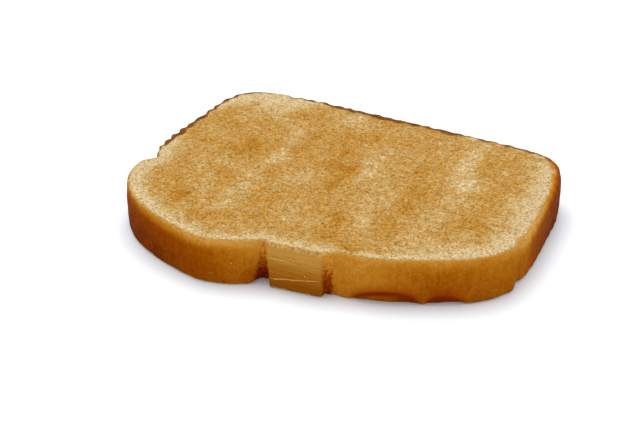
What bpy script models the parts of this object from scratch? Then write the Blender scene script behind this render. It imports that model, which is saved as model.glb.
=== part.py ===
"""One slice of white toast, lying flat.

The slice comes from a tin loaf whose top has split along its middle, so its outline is a
tapered tin-shaped body with two unequal domed lobes and a narrow torn band between them.
Metres, +Z up. +Y points to the loaf's base and -Y to its top. The origin is under the middle
of the slice, on the surface that it lies on.
"""

import math

import bmesh
import bpy
import numpy as np
from mathutils import Vector, noise

# Driving sizes of the slice
SLICE_THICKNESS = 0.0150
TIN_WIDTH_RIM = 0.1208
TIN_WIDTH_BASE = 0.1092
TIN_MIDDLE_X = 0.0004
TIN_BASE_Y = 0.0434
TIN_RIM_Y = -0.0090
CUT_EDGE_RADIUS = 0.0009
CRUST_BULGE = 0.00035

# The tin-shaped body reaches a little past its rim, into the lobes
TIN_REACH_Y = -0.0157
TIN_CORNER_POWER_LEFT = 6.3
TIN_CORNER_POWER_RIGHT = 7.3
TIN_FRONT_POWER = 5.0

# The two domed lobes and the torn band. A power of 2 rounds a side like an ellipse, and more squares it.
LEFT_LOBE = dict(x=-0.0200, y=-0.0195, left=0.0398, right=0.0232, front=0.0248, turn=-14.0,
                 power_left=2.45, power_right=1.7)
RIGHT_LOBE = dict(x=0.0180, y=-0.0008, left=0.0373, right=0.0364, front=0.0330, turn=25.0,
                  power_left=1.8, power_right=4.0)
TORN_BAND = dict(x=0.0038, y=-0.0292, left=0.0110, right=0.0110, front=0.0082, turn=5.8,
                 power_left=8.0, power_right=8.0)
OUTLINE_BLEND = 0.0003

# The outline is found along each direction by halving this range of distances from the origin
OUTLINE_SEARCH = (0.005, 0.090)
OUTLINE_HALVINGS = 26

# Nicks in the outline, and a swell where depth is below zero: both lobes hang over the tin's rim
NICKS = (
    dict(x=-0.0590, y=-0.0102, depth=0.0026, width=0.0022),
    dict(x=0.0595, y=-0.0098, depth=-0.0010, width=0.0022),
    dict(x=0.0593, y=-0.0055, depth=0.0007, width=0.0014),
    dict(x=-0.0358, y=0.0434, depth=0.0011, width=0.0012),
)

# Upright ribs that the tin's wall leaves on the crust: spacing and height
RIB_SPACING = 0.0045
RIB_HEIGHT = 0.00050
RIB_HEIGHT_RIGHT = 0.00018
RIB_DRIFT_LENGTH = 0.011
RIB_CHANGE_LENGTH = 0.007
SMOOTH_CORNER_X = -0.0370
SMOOTH_CORNER_Y = 0.0330

# The crags on both sides of the torn band, which run from face to face
LEFT_CRAG = dict(x=-0.0060, depth_top=0.0005, depth_base=0.0030, width_top=0.0009, width_base=0.0024)
RIGHT_CRAG = dict(x=0.0152, depth_top=0.0008, depth_base=0.0019, width_top=0.0011, width_base=0.0016)

# Two torn ledges across the band: height at its left end, height at its right end, how far they stand out
TORN_LEDGES = ((0.0106, 0.0098, 0.00035), (0.0038, 0.0058, 0.00040))
TORN_LEDGE_WIDTH = 0.0006

# The pinched fold low on the right lobe, as two arches: middle, half span, height, depth
FOLD_ARCHES = (
    dict(x=0.0265, half_span=0.0115, height=0.0041, depth=0.0010),
    dict(x=0.0425, half_span=0.0070, height=0.0026, depth=0.0007),
)
FOLD_LIP = 0.0005

# The crumb face: slow waves, fine unevenness and the fall towards the crust
WAVE_LENGTH = 0.026
WAVE_HEIGHT = 0.00030
GRAIN_LENGTH = 0.0052
GRAIN_HEIGHT = 0.00016

# Mesh density: squares along each side of a face, layers through the crust, share of triangles kept
FACE_SQUARES = 88
CRUST_LAYERS = 16
SHARE_KEPT = 0.185

# Directions, seen from the origin, in which the corners of the squared faces meet the outline
CORNER_DEGREES = (-150, -33, 37, 143)

TOASTED_COLOUR = (0.57, 0.32, 0.08, 1.0)
TOASTED_ROUGHNESS = 0.8


def clear_scene():
    for item in list(bpy.data.objects):
        bpy.data.objects.remove(item, do_unlink=True)


def lobe_field(x, y, lobe):
    """Below zero inside a rounded form whose reach differs to the left and to the right."""
    turn = math.radians(lobe["turn"])
    along = (x - lobe["x"]) * math.cos(turn) + (y - lobe["y"]) * math.sin(turn)
    across = (y - lobe["y"]) * math.cos(turn) - (x - lobe["x"]) * math.sin(turn)
    rightwards = along > 0
    along = np.abs(along) / np.where(rightwards, lobe["right"], lobe["left"])
    across = np.abs(across) / lobe["front"]
    power = np.where(rightwards, lobe["power_right"], lobe["power_left"])
    return ((along**power + across**power) ** (1 / power) - 1) * lobe["front"]


def tin_field(x, y):
    """Below zero inside the tapered, round-cornered form that the tin gives the loaf."""
    share = (y - TIN_RIM_Y) / (TIN_BASE_Y - TIN_RIM_Y)
    half_width = (TIN_WIDTH_RIM + (TIN_WIDTH_BASE - TIN_WIDTH_RIM) * share) / 2
    half_depth = (TIN_BASE_Y - TIN_REACH_Y) / 2
    across = (x - TIN_MIDDLE_X) / half_width
    along = (y - (TIN_BASE_Y + TIN_REACH_Y) / 2) / half_depth
    corner = np.where(across < 0, TIN_CORNER_POWER_LEFT, TIN_CORNER_POWER_RIGHT)
    power = np.where(along < 0, TIN_FRONT_POWER, corner)
    return ((np.abs(across) ** power + np.abs(along) ** power) ** (1 / power) - 1) * half_depth


def slice_field(x, y):
    """The four forms blended into one outline, which is where this is zero."""
    forms = [tin_field(x, y)] + [lobe_field(x, y, lobe) for lobe in (LEFT_LOBE, RIGHT_LOBE, TORN_BAND)]
    nearest = np.min(forms, axis=0)
    weights = [np.exp((nearest - form) / OUTLINE_BLEND) for form in forms]
    return nearest - OUTLINE_BLEND * np.log(np.sum(weights, axis=0))


def outline(count, steps=2400):
    """The outline as evenly spaced points and outward normals, anticlockwise from its left front corner."""
    angle = np.linspace(0, 2 * math.pi, steps, endpoint=False) - math.pi
    inside = np.full(steps, OUTLINE_SEARCH[0])
    outside = np.full(steps, OUTLINE_SEARCH[1])
    for _ in range(OUTLINE_HALVINGS):
        middle = (inside + outside) / 2
        is_inside = slice_field(middle * np.cos(angle), middle * np.sin(angle)) < 0
        inside = np.where(is_inside, middle, inside)
        outside = np.where(is_inside, outside, middle)
    x = inside * np.cos(angle)
    y = inside * np.sin(angle)
    for nick in NICKS:
        gap = np.hypot(x - nick["x"], y - nick["y"])
        shrink = 1 - nick["depth"] * np.exp(-((gap / nick["width"]) ** 2)) / np.hypot(x, y)
        x, y = x * shrink, y * shrink
    length = np.concatenate([[0], np.cumsum(np.hypot(np.diff(x, append=x[0]), np.diff(y, append=y[0])))])
    x = np.append(x, x[0])
    y = np.append(y, y[0])
    corners = [np.interp(math.radians(degrees), angle, length[:-1]) for degrees in CORNER_DEGREES]
    stations = []
    for start, end in zip(corners, corners[1:] + [corners[0] + length[-1]]):
        stations.append(np.linspace(start, end, count // 4, endpoint=False))
    station = np.concatenate(stations) % length[-1]
    points = np.column_stack([np.interp(station, length, x), np.interp(station, length, y)])
    tangent = np.roll(points, -1, axis=0) - np.roll(points, 1, axis=0)
    normal = np.column_stack([tangent[:, 1], -tangent[:, 0]])
    normal /= np.linalg.norm(normal, axis=1)[:, None]
    return points, normal, station


def smooth_step(value, low, high):
    share = np.clip((value - low) / (high - low), 0, 1)
    return share * share * (3 - 2 * share)


def rib_relief(x, y, station):
    """Uneven upright ribs on the three sides that touched the tin."""
    drift = np.array([noise.noise(Vector((s / RIB_DRIFT_LENGTH, 3.1, 0))) for s in station])
    strength = np.array([noise.noise(Vector((s / RIB_CHANGE_LENGTH, 7.7, 0))) for s in station])
    wave = np.cos(2 * math.pi * station / RIB_SPACING + 3.5 * drift)
    height = np.where(x > 0.045, RIB_HEIGHT_RIGHT, RIB_HEIGHT) * (0.75 + 0.9 * strength)
    on_tin = smooth_step(y, TIN_RIM_Y + 0.001, TIN_RIM_Y + 0.006)
    in_smooth_corner = smooth_step(-x, -SMOOTH_CORNER_X, -SMOOTH_CORNER_X + 0.003)
    in_smooth_corner *= smooth_step(y, SMOOTH_CORNER_Y, SMOOTH_CORNER_Y + 0.005)
    return wave * height * on_tin * (1 - in_smooth_corner)


def crag_relief(x, y, height):
    """The two crags beside the torn band, deeper and wider towards the lower face."""
    low = 1 - height / SLICE_THICKNESS
    total = np.zeros_like(x)
    for crag in (LEFT_CRAG, RIGHT_CRAG):
        depth = crag["depth_top"] + (crag["depth_base"] - crag["depth_top"]) * low**1.4
        width = crag["width_top"] + (crag["width_base"] - crag["width_top"]) * low**1.4
        total -= depth * np.exp(-(((x - crag["x"]) / width) ** 2))
    return total * (y < 0)


def ledge_relief(x, y, height):
    """Torn ledges that run across the band from crag to crag."""
    share = (x - LEFT_CRAG["x"]) / (RIGHT_CRAG["x"] - LEFT_CRAG["x"])
    across = smooth_step(share, 0.06, 0.16) * smooth_step(1 - share, 0.06, 0.16) * (y < 0)
    total = np.zeros_like(x)
    for left_height, right_height, stands_out in TORN_LEDGES:
        middle = left_height + (right_height - left_height) * share
        total += stands_out * np.exp(-(((height - middle) / TORN_LEDGE_WIDTH) ** 2))
    return total * across


def fold_relief(x, y, height):
    """The crust below each arch of the fold is pinched in."""
    total = np.zeros_like(x)
    for arch in FOLD_ARCHES:
        share = np.clip(np.abs(x - arch["x"]) / arch["half_span"], 0, 1)
        lip = arch["height"] * (1 - share**2.2)
        total -= arch["depth"] * smooth_step(lip - height, -FOLD_LIP, FOLD_LIP) * (1 - share**4)
    return total * (y < 0)


def crust_relief(x, y, station, height):
    bulge = CRUST_BULGE * (1 - (2 * height / SLICE_THICKNESS - 1) ** 2)
    return (
        bulge
        + rib_relief(x, y, station)
        + crag_relief(x, y, height)
        + ledge_relief(x, y, height)
        + fold_relief(x, y, height)
    )


def face_relief(x, y):
    """Unevenness of the upper crumb face."""
    slow = [noise.noise(Vector((a / WAVE_LENGTH, b / WAVE_LENGTH, 1.3))) for a, b in zip(x, y)]
    fine = [noise.noise(Vector((a / GRAIN_LENGTH, b / GRAIN_LENGTH, 5.9))) for a, b in zip(x, y)]
    return WAVE_HEIGHT * np.array(slow) + GRAIN_HEIGHT * np.array(fine)


def square_block():
    """A cube cut into even squares: its upper and lower faces become the crumb and its sides the crust."""
    mesh = bmesh.new()
    bmesh.ops.create_cube(mesh, size=2.0)
    upright = [e for e in mesh.edges if abs(e.verts[0].co.z - e.verts[1].co.z) > 1]
    level = [e for e in mesh.edges if e not in upright]
    bmesh.ops.subdivide_edges(mesh, edges=level, cuts=FACE_SQUARES - 1, use_grid_fill=True)
    upright = [e for e in mesh.edges if abs(e.verts[0].co.z - e.verts[1].co.z) > 1]
    bmesh.ops.subdivide_edges(mesh, edges=upright, cuts=CRUST_LAYERS - 1, use_grid_fill=True)
    return mesh


def shape_slice(mesh):
    """Moves every point of the block to its place on the slice."""
    mesh.verts.ensure_lookup_table()
    co = np.array([v.co for v in mesh.verts])
    ring = np.maximum(np.abs(co[:, 0]), np.abs(co[:, 1]))
    safe = np.maximum(ring, 1e-9)
    a, b = co[:, 0] / safe, co[:, 1] / safe
    # Position round the square, 0 to 4, anticlockwise from its left front corner
    side = np.where(
        (b <= -a) & (b < a), (a + 1) / 2,
        np.where((a >= b) & (a > -b), 1 + (b + 1) / 2,
                 np.where((b >= -a) & (b > a), 2 + (1 - a) / 2, 3 + (1 - b) / 2)),
    )
    count = 4 * FACE_SQUARES
    points, normals, stations = outline(count)
    index = np.rint(side * FACE_SQUARES).astype(int) % count
    point, normal, station = points[index], normals[index], stations[index]

    is_crust = ring > 1 - 1e-6
    upper = co[:, 2] > 0
    height = (co[:, 2] + 1) / 2 * SLICE_THICKNESS
    to_rim = (1 - ring) * np.hypot(point[:, 0], point[:, 1])
    to_face = np.minimum(height, SLICE_THICKNESS - height)

    # Both cut edges are slightly rounded: the arc is shared by the face and the crust
    radius = CUT_EDGE_RADIUS
    on_arc = np.where(is_crust, 1 - np.clip(to_face / radius, 0, 1), 1 + np.clip(to_rim / radius, 0, 1))
    arc = np.radians(45) * on_arc
    inset = radius * (1 - np.cos(np.where(is_crust, arc, math.radians(45))))
    drop = radius * (1 - np.sin(arc))

    relief_height = np.clip(height, radius, SLICE_THICKNESS - radius)
    relief = crust_relief(point[:, 0], point[:, 1], station, relief_height)
    edge = point + normal * (relief - inset)[:, None]
    place = edge * ring[:, None]

    face_height = np.where(upper, SLICE_THICKNESS - drop, drop)
    crust_height = np.where(to_face < radius, face_height, height)
    z = np.where(is_crust, crust_height, face_height)
    waves = face_relief(place[:, 0], place[:, 1])
    z += waves * upper * ~is_crust * smooth_step(to_rim, 0.0, 0.006)
    for vertex, (x, y), level in zip(mesh.verts, place, z):
        vertex.co = (x, y, level)


def toast_material():
    material = bpy.data.materials.new("toasted_bread")
    material.use_nodes = True
    shader = material.node_tree.nodes["Principled BSDF"]
    shader.inputs["Base Color"].default_value = TOASTED_COLOUR
    shader.inputs["Roughness"].default_value = TOASTED_ROUGHNESS
    return material


def build_slice(collection):
    mesh = square_block()
    shape_slice(mesh)
    co = np.array([v.co for v in mesh.verts])
    middle = (co.min(axis=0) + co.max(axis=0)) / 2
    bmesh.ops.translate(mesh, verts=mesh.verts, vec=(-middle[0], -middle[1], -co[:, 2].min()))
    bmesh.ops.recalc_face_normals(mesh, faces=mesh.faces)
    data = bpy.data.meshes.new("toast_slice")
    mesh.to_mesh(data)
    mesh.free()
    data.materials.append(toast_material())
    slice_object = bpy.data.objects.new("toast_slice", data)
    collection.objects.link(slice_object)
    thin_out = slice_object.modifiers.new("thin_out", "DECIMATE")
    thin_out.decimate_type = "COLLAPSE"
    thin_out.ratio = SHARE_KEPT
    thin_out.use_collapse_triangulate = True
    return slice_object


def main():
    clear_scene()
    collection = bpy.data.collections.new("white_toast")
    bpy.context.scene.collection.children.link(collection)
    build_slice(collection)


main()
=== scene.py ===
import math

import bmesh
import bpy
import numpy as np
from mathutils import Euler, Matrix, Vector, kdtree, noise
from mathutils.bvhtree import BVHTree


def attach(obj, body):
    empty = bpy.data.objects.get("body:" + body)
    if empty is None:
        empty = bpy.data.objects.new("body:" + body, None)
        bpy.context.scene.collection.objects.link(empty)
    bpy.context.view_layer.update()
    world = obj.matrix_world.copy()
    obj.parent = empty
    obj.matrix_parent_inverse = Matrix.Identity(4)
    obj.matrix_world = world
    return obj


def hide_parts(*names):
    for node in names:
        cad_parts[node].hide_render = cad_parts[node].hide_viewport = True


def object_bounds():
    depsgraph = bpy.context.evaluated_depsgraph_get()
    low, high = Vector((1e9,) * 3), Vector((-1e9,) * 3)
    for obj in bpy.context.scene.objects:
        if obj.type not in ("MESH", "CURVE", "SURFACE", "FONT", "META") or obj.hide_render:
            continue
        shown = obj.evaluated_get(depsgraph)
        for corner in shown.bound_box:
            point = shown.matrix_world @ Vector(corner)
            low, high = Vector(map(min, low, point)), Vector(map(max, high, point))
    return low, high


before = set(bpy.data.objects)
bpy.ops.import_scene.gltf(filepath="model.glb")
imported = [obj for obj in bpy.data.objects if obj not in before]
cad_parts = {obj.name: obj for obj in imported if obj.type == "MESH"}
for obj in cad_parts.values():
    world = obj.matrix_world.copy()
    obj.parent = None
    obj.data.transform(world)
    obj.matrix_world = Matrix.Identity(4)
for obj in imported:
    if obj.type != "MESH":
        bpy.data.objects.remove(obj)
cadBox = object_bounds()
mm = 0.001


def say(stage):
    print("toast:", stage)


# small helpers

def smoothStep(value, low, high):
    share = np.clip((value - low) / (high - low), 0, 1)
    return share * share * (3 - 2 * share)


def hump(value, middle, width):
    return np.exp(-(((value - middle) / width) ** 2))


def noiseAt(x, y, z, size, seed):
    # soft noise, about -0.7 to 0.7, with lumps of the given size
    return np.array([noise.noise((a / size, b / size, c / size + seed)) for a, b, c in zip(x, y, z)])


def lumps(x, y, layers):
    # noise over a face, added up from layers of strength, size and seed
    return sum(strength * noiseAt(x, y, np.zeros_like(x), size, seed) for strength, size, seed in layers)


def linearColour(colour, light=1.0):
    # screen colour, 0 to 255, to the shader's own scale. light is how strongly the surface is lit.
    values = [((c / 255 + 0.055) / 1.055) ** 2.4 if c > 10 else c / 255 / 12.92 for c in colour]
    return [value / light for value in values] + [1.0]


def addObject(name, data):
    made = bpy.data.objects.new(name, data)
    bpy.context.scene.collection.objects.link(made)
    return made


# the slice from above: the tin's part, two domed lobes and the torn band between them, in metres

slicePlan = {
    "thickness": 0.0150,
    # width at the rim and at the base, where these are, and how square the corners are
    "tin": {"rimWidth": 0.1208, "baseWidth": 0.1092, "middleX": 0.0004, "baseY": 0.0434, "rimY": -0.0090,
            "reachY": -0.0157, "cornerLeft": 6.3, "cornerRight": 9.0, "cornerFront": 5.0},
    # left lobe, right lobe and band: middle, reach each way, turn in degrees, how square each half is
    "lobes": [
        {"x": -0.0200, "y": -0.0195, "left": 0.0398, "right": 0.0232, "front": 0.0248, "turn": -14.0,
         "roundLeft": 2.45, "roundRight": 1.7},
        {"x": 0.0180, "y": -0.0008, "left": 0.0373, "right": 0.0364, "front": 0.0330, "turn": 25.0,
         "roundLeft": 1.8, "roundRight": 4.0},
        {"x": 0.0038, "y": -0.0292, "left": 0.0110, "right": 0.0110, "front": 0.0082, "turn": 5.8,
         "roundLeft": 8.0, "roundRight": 8.0},
    ],
    "blend": 0.0003,
    # nicks in the outline: x, y, depth, width. A depth below zero is a swell.
    "nicks": [(-0.0590, -0.0102, 0.0026, 0.0022), (0.0595, -0.0098, -0.0010, 0.0022),
              (0.0593, -0.0055, 0.0007, 0.0014), (-0.0358, 0.0434, 0.0011, 0.0012),
              (0.0588, 0.0150, -0.0011, 0.0140), (0.0565, 0.0310, -0.0012, 0.0100)],
    # the edge is searched for along rays, between the nearest and the farthest it can be
    "rays": 2400, "halvings": 26, "nearest": 0.005, "farthest": 0.090,
    "points": 1480,
}


def lobeField(x, y, lobe):
    turn = math.radians(lobe["turn"])
    along = (x - lobe["x"]) * math.cos(turn) + (y - lobe["y"]) * math.sin(turn)
    across = (y - lobe["y"]) * math.cos(turn) - (x - lobe["x"]) * math.sin(turn)
    rightwards = along > 0
    along = np.abs(along) / np.where(rightwards, lobe["right"], lobe["left"])
    across = np.abs(across) / lobe["front"]
    power = np.where(rightwards, lobe["roundRight"], lobe["roundLeft"])
    return ((along**power + across**power) ** (1 / power) - 1) * lobe["front"]


def tinField(x, y, tin):
    share = (y - tin["rimY"]) / (tin["baseY"] - tin["rimY"])
    halfWidth = (tin["rimWidth"] + (tin["baseWidth"] - tin["rimWidth"]) * share) / 2
    halfDepth = (tin["baseY"] - tin["reachY"]) / 2
    across = (x - tin["middleX"]) / halfWidth
    along = (y - (tin["baseY"] + tin["reachY"]) / 2) / halfDepth
    corner = np.where(across < 0, tin["cornerLeft"], tin["cornerRight"])
    power = np.where(along < 0, tin["cornerFront"], corner)
    return ((np.abs(across) ** power + np.abs(along) ** power) ** (1 / power) - 1) * halfDepth


def sliceField(x, y):
    # below zero inside the slice
    forms = [tinField(x, y, slicePlan["tin"])] + [lobeField(x, y, lobe) for lobe in slicePlan["lobes"]]
    nearest = np.min(forms, axis=0)
    weights = [np.exp((nearest - form) / slicePlan["blend"]) for form in forms]
    return nearest - slicePlan["blend"] * np.log(np.sum(weights, axis=0))


def tracePlan():
    # evenly spaced points round the edge, their outward directions and how far round they are
    angle = np.linspace(0, 2 * math.pi, slicePlan["rays"], endpoint=False) - math.pi
    inside = np.full(angle.shape, slicePlan["nearest"])
    outside = np.full(angle.shape, slicePlan["farthest"])
    for _ in range(slicePlan["halvings"]):
        middle = (inside + outside) / 2
        isInside = sliceField(middle * np.cos(angle), middle * np.sin(angle)) < 0
        inside = np.where(isInside, middle, inside)
        outside = np.where(isInside, outside, middle)
    x, y = inside * np.cos(angle), inside * np.sin(angle)
    for nickX, nickY, depth, width in slicePlan["nicks"]:
        gap = np.hypot(x - nickX, y - nickY)
        shrink = 1 - depth * np.exp(-((gap / width) ** 2)) / np.hypot(x, y)
        x, y = x * shrink, y * shrink
    x, y = np.append(x, x[0]), np.append(y, y[0])
    length = np.concatenate([[0], np.cumsum(np.hypot(np.diff(x), np.diff(y)))])
    wayRound = np.linspace(0, length[-1], slicePlan["points"], endpoint=False)
    points = np.column_stack([np.interp(wayRound, length, x), np.interp(wayRound, length, y)])
    ahead = np.roll(points, -1, axis=0) - np.roll(points, 1, axis=0)
    outward = np.column_stack([ahead[:, 1], -ahead[:, 0]])
    outward /= np.linalg.norm(outward, axis=1)[:, None]
    return points, outward, wayRound


# relief of the crust, metres

crust = {
    "bulge": 0.00035,
    # y over which the sides that touched the tin begin
    "tinFrom": (-0.0080, -0.0030),
    "ribs": {"spacing": 0.0045, "height": 0.00036, "rightHeight": 0.00008, "rightFrom": 0.045,
             "drift": 5.5, "driftSize": 0.011, "least": 0.75, "varies": 1.3, "variesSize": 0.007},
    # the back left corner has no ribs: -x and y over which they fade out
    "plainCorner": ((0.037, 0.040), (0.033, 0.038)),
    # crags, top and low: left and right edge, how soft the left edge is, depth, and how rough
    "crags": [
        {"left": (-0.0053, -0.0066), "right": (-0.0045, -0.0037), "softLeft": (0.0004, 0.0030),
         "softRight": 0.0005, "depth": (0.0006, 0.0030), "rough": 0.0005},
        {"left": (0.0127, 0.0125), "right": (0.0150, 0.0153), "softLeft": (0.0005, 0.0005),
         "softRight": 0.0007, "depth": (0.0008, 0.0020), "rough": 0.0005},
    ],
    # size of their roughness, its share on the right edge, how fast they deepen, and where each edge fades,
    # counted in its softness
    "cragRoughSize": 0.0024, "cragRoughRight": 0.6, "cragDeepens": 1.4, "cragFade": ((-1, 0.4), (-0.7, 0.7)),
    # x over which the torn band begins, and -x over which it ends
    "band": ((-0.0045, -0.0037), (-0.0130, -0.0124)),
    # ledges across the torn band: height at its left and right end, how far they stand out
    "ledges": [(0.0101, 0.0106, 0.00022), (0.0030, 0.0064, 0.00030)],
    "ledgeWidth": 0.0005,
    # the pinched fold low on the right lobe, as two arches
    "folds": [{"x": 0.0305, "left": 0.0118, "right": 0.0088, "height": 0.0037, "depth": 0.0011},
              {"x": 0.0436, "left": 0.0042, "right": 0.0064, "height": 0.0025, "depth": 0.0010}],
    # softness of the lip, and how squarely the arch, the hollow and the painted shade line along the crease
    # end (higher is squarer)
    "foldLip": 0.0004, "foldArch": 2.2, "foldHollow": 4, "creaseShadeEnd": 6,
    # below the lip painted shade darkens the crust: how much at the left, how much more at the right, and the
    # x of that change
    "underLipShade": (0.5, 1.3, (0.030, 0.038)),
    # painted shade as a dark line along the crease at the lip, and a fainter painted shade over it: strength,
    # height above the lip, width
    "creaseShadeLines": [(1.4, -0.0003, 0.0010), (0.45, 0.0010, 0.0018)],
    # height of the lumps, their size, how much they are drawn out along the crust, and seed
    "roughness": {"band": (0.00014, 0.0010, 0.10, 11.0), "skin": (0.00010, 0.0034, 1, 2.0),
                  "everywhere": (0.00005, 0.0012, 1, 6.0), "crags": (0.00040, 0.0011, 1, 21.0)},
}


def tinShare(y):
    # 1 on the three sides that touched the tin
    return smoothStep(y, *crust["tinFrom"])


def ribRelief(x, y, wayRound):
    ribs = crust["ribs"]
    drift = np.array([noise.noise((s / ribs["driftSize"], 3.1, 0)) for s in wayRound])
    strength = np.array([noise.noise((s / ribs["variesSize"], 7.7, 0)) for s in wayRound])
    wave = np.cos(2 * math.pi * wayRound / ribs["spacing"] + ribs["drift"] * drift)
    height = np.where(x > ribs["rightFrom"], ribs["rightHeight"], ribs["height"])
    height = height * (ribs["least"] + ribs["varies"] * strength)
    cornerX, cornerY = crust["plainCorner"]
    plain = smoothStep(-x, *cornerX) * smoothStep(y, *cornerY)
    return wave * height * tinShare(y) * (1 - plain)


def cragShares(x, y, height):
    # for each crag, how deep inside it a point of the crust is, 0 to 1, and its depth there
    low = np.clip(1 - height / slicePlan["thickness"], 0, 1)
    fadeLeft, fadeRight = crust["cragFade"]
    found = []
    for number, crag in enumerate(crust["crags"]):
        rough = crag["rough"] * noiseAt(x * 0, height, height * 0, crust["cragRoughSize"], 4.2 + number)
        left = np.interp(low, (0, 1), crag["left"]) + rough
        right = np.interp(low, (0, 1), crag["right"]) + rough * crust["cragRoughRight"]
        soft = np.interp(low, (0, 1), crag["softLeft"])
        fromLeft = smoothStep((x - left) / soft, *fadeLeft)
        fromRight = smoothStep((right - x) / crag["softRight"], *fadeRight)
        depth = np.interp(low ** crust["cragDeepens"], (0, 1), crag["depth"])
        found.append((fromLeft * fromRight * (y < 0), depth))
    return found


def bandShare(x, y):
    # 1 on the torn band between the crags
    begins, ends = crust["band"]
    return smoothStep(x, *begins) * smoothStep(-x, *ends) * (y < 0)


def ledgeRelief(x, y, height):
    left, right = crust["crags"][0]["right"][1], crust["crags"][1]["left"][0]
    share = (x - left) / (right - left)
    total = np.zeros_like(x)
    for atLeft, atRight, standsOut in crust["ledges"]:
        total += standsOut * hump(height, atLeft + (atRight - atLeft) * share, crust["ledgeWidth"])
    return total * bandShare(x, y)


def foldShares(x, y, height):
    # how much painted shade a point of the crust gets below a fold's lip, how much painted shade along that
    # lip's crease, and the fold's relief
    below, lipShade, relief = np.zeros_like(x), np.zeros_like(x), np.zeros_like(x)
    least, more, rightwards = crust["underLipShade"]
    for fold in crust["folds"]:
        gap = x - fold["x"]
        share = np.clip(np.abs(gap) / np.where(gap < 0, fold["left"], fold["right"]), 0, 1)
        lip = fold["height"] * (1 - share ** crust["foldArch"])
        inside = smoothStep(lip - height, -crust["foldLip"], crust["foldLip"])
        inside = inside * (1 - share ** crust["foldHollow"]) * (y < 0)
        below = np.maximum(below, inside * (least + more * smoothStep(x, *rightwards)))
        line = sum(strength * hump(height, lip + above, width)
                   for strength, above, width in crust["creaseShadeLines"])
        lipShade = np.maximum(lipShade, np.clip(line, 0, 1) * (1 - share ** crust["creaseShadeEnd"]) * (y < 0))
        relief -= fold["depth"] * inside
    return below, lipShade, relief


def crustRelief(x, y, wayRound, height):
    total = crust["bulge"] * (1 - (2 * height / slicePlan["thickness"] - 1) ** 2)
    total = total + ribRelief(x, y, wayRound) + ledgeRelief(x, y, height)
    crags = cragShares(x, y, height)
    for share, depth in crags:
        total -= share * depth
    total += foldShares(x, y, height)[2]
    # torn strands along the band, dimples in the baked skin, and roughness in the crags
    band = bandShare(x, y)
    inCrags = np.clip(sum(share for share, depth in crags), 0, 1)
    places = {"band": band, "skin": 1 - band, "everywhere": 1, "crags": inCrags}
    for place, (lift, size, drawn, seed) in crust["roughness"].items():
        total += places[place] * lift * noiseAt(x * drawn, y * drawn, height, size, seed)
    return total


# the crumb faces, metres

crumb = {
    # waves, lumps and grain: height, size, and what each adds to the face's seed
    "relief": [(0.00022, 0.026, 0.0), (0.00012, 0.0052, 4.6), (0.00020, 0.0012, 9.1)],
    "seeds": {1: 1.3, -1: 31.7},
    # pores: how far apart, depth, radius as a share of that distance, how many of the places have one, and
    # how much shallower they are than that depth
    "poreSize": 0.0021, "poreDepth": 0.00030, "poreRadius": 0.30, "poreShare": 0.5, "shallower": 0.2,
    # single holes in the upper face: x, y, radius, depth
    "holes": [(-0.0374, -0.0240, 0.00065, 0.0008), (-0.0258, -0.0315, 0.0004, 0.0005),
              (-0.0118, 0.0200, 0.0004, 0.0005), (0.0310, -0.0070, 0.0004, 0.0004),
              (0.0240, 0.0330, 0.0004, 0.0004)],
    # painted shade inside the holes: the depth that gives the darkest, and how far round each hole it
    # spreads, in radii
    "deepestHole": 0.0008, "holeShadeSpread": 1.1,
}


def crumbRelief(x, y, face):
    # face is 1 for the upper one and -1 for the lower one
    faceSeed = crumb["seeds"][face]
    total = lumps(x, y, [(height, size, faceSeed + seed) for height, size, seed in crumb["relief"]])
    size = crumb["poreSize"]
    for i, (a, b) in enumerate(zip(x, y)):
        gaps, centres = noise.voronoi((a / size, b / size, faceSeed))
        centre = centres[0]
        chance = noise.cell((centre.x * 37, centre.y * 53, faceSeed))
        if chance > 1 - crumb["poreShare"]:
            pore = math.exp(-((gaps[0] / crumb["poreRadius"]) ** 2))
            total[i] -= crumb["poreDepth"] * (chance - crumb["shallower"]) * pore
    if face > 0:
        for holeX, holeY, radius, depth in crumb["holes"]:
            total -= depth * hump(np.hypot(x - holeX, y - holeY), 0, radius)
    return total


# browning of the faces: where the toaster's wires and the rim kept them pale, and where they caught most

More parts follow.
